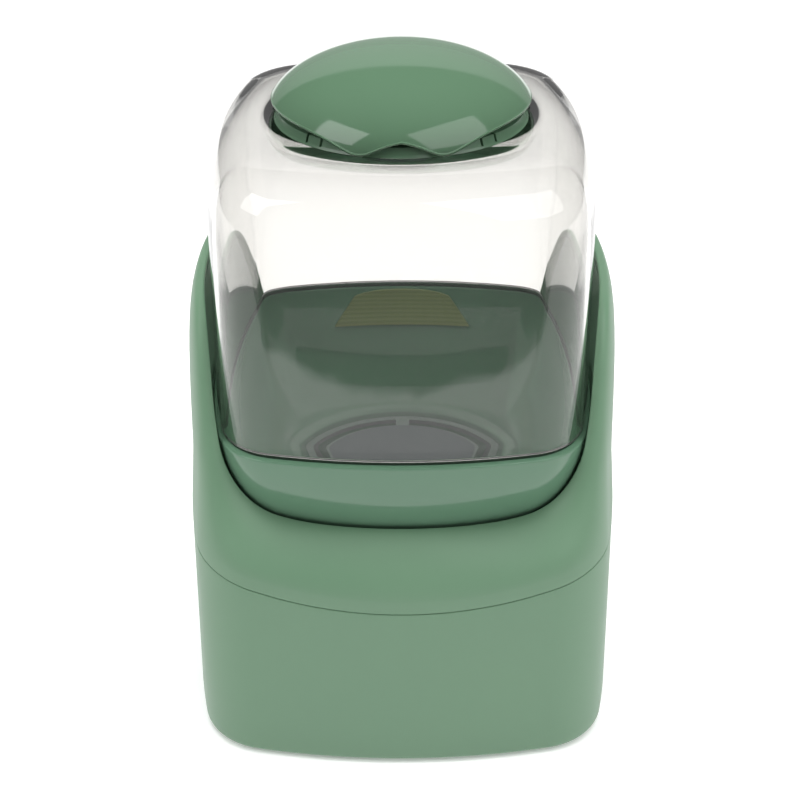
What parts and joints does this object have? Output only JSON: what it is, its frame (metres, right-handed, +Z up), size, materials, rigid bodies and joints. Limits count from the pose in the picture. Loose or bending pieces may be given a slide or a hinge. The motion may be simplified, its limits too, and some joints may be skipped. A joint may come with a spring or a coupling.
{
  "type": "disinfectant jar",
  "caption": "Counter-top disinfecting jar: a clear rounded-square dome with a lift-off round lid on a moulded bowl, held between the raised side arms of a two-part stand.",
  "frame": {"origin": "middle of the footprint, on the surface that the feet stand on", "axes": "+X to the right of a person facing the front, +Y towards the back, +Z up"},
  "size_m": [0.1484, 0.1632, 0.2252],
  "materials": {
    "green_abs": "satin moulded",
    "green_liner": "satin moulded",
    "green_bowl": "semi-gloss moulded",
    "green_collar": "semi-gloss moulded",
    "green_cap": "gloss moulded",
    "clear_dome": "clear, faintly smoky, polished",
    "grey_plate": "satin",
    "grey_mat": "matt",
    "seal_rubber": "matt",
    "foot_rubber": "matt",
    "label_film": "printed film, blank",
    "screw_steel": "zinc plated"
  },
  "bodies": {
    "stand": {"lower_housing": "green_abs", "upper_housing": "green_abs", "cradle_liner": "green_liner", "arm_linings": "green_liner", "housing_screws": "screw_steel", "rubber_feet": "foot_rubber", "seat_pads": "foot_rubber"},
    "bowl": {"bowl": "green_bowl", "rim_gasket": "seal_rubber", "blank_label": "label_film"},
    "strainer": {"strainer_plate": "grey_plate", "strainer_mat": "grey_mat"},
    "dome": {"dome": "clear_dome", "mouth_collar": "green_collar"},
    "lid": {"lid_cap": "green_cap", "lid_plug": "green_collar", "lid_seal": "seal_rubber"}
  },
  "joints": [
    {"name": "bowl_lift", "type": "slide", "parent": "stand", "child": "bowl", "axis": [0, 0, 1], "range_m": [0, 0.12]},
    {"name": "dome_lift", "type": "slide", "parent": "bowl", "child": "dome", "axis": [0, 0, 1], "range_m": [0, 0.06]},
    {"name": "lid_lift", "type": "slide", "parent": "dome", "child": "lid", "axis": [0, 0, 1], "range_m": [0, 0.04]},
    {"name": "strainer_lift", "type": "slide", "parent": "bowl", "child": "strainer", "axis": [0, 0, 1], "range_m": [0, 0.05]}
  ]
}
